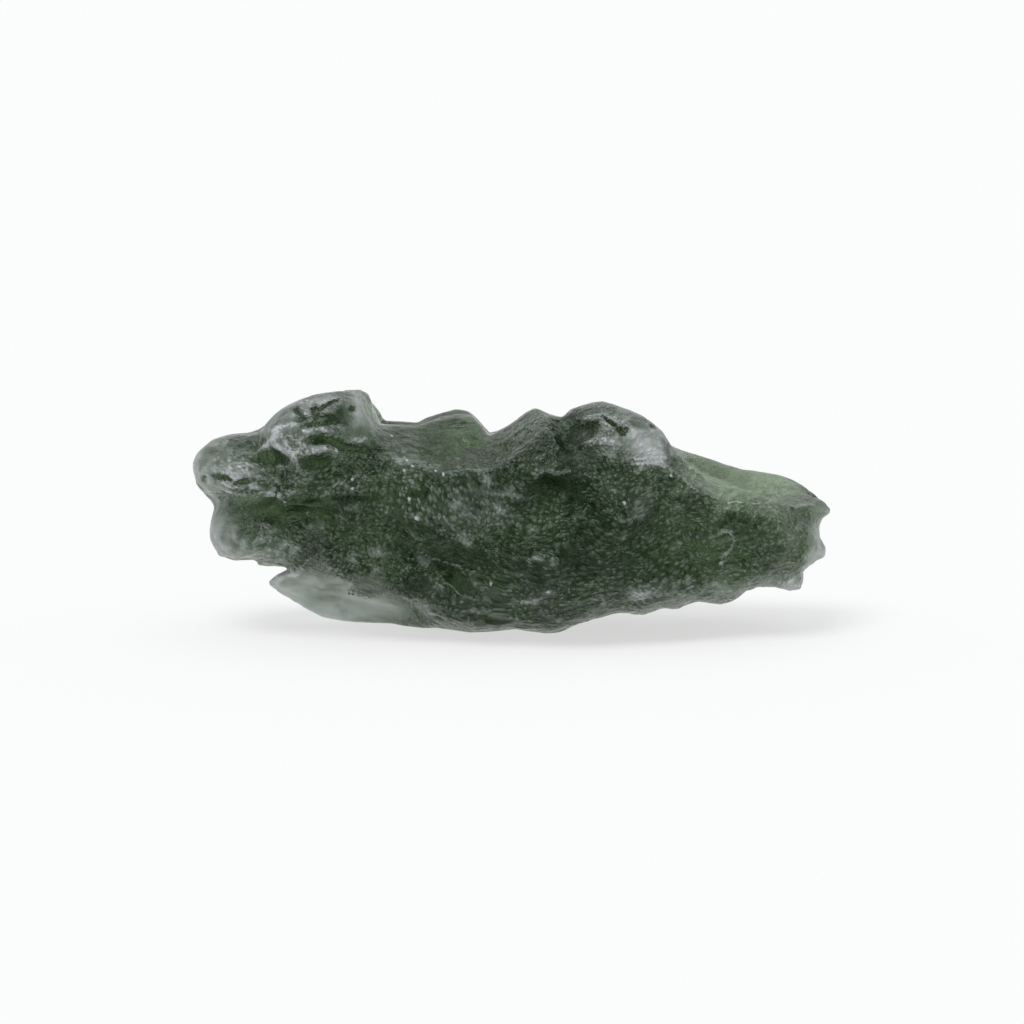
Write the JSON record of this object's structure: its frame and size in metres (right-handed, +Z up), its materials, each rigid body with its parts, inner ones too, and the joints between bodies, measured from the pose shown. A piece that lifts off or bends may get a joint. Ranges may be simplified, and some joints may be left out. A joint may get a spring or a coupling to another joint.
{
  "type": "moldavite",
  "caption": "Raw piece of translucent green natural glass with an etched, pitted skin, lobed ends, a saddle-shaped top and thin ragged edges.",
  "frame": {"origin": "under the middle of the stone, on the plane of the small flat spot it rests on", "axes": "+X along the stone to the right as seen from its front, -Y towards the viewer, +Z up"},
  "size_m": [0.0286, 0.0122, 0.011],
  "materials": {
    "green_glass": "frosted by etching, semi-gloss"
  },
  "bodies": {
    "root": {"moldavite": "green_glass"}
  },
  "joints": []
}
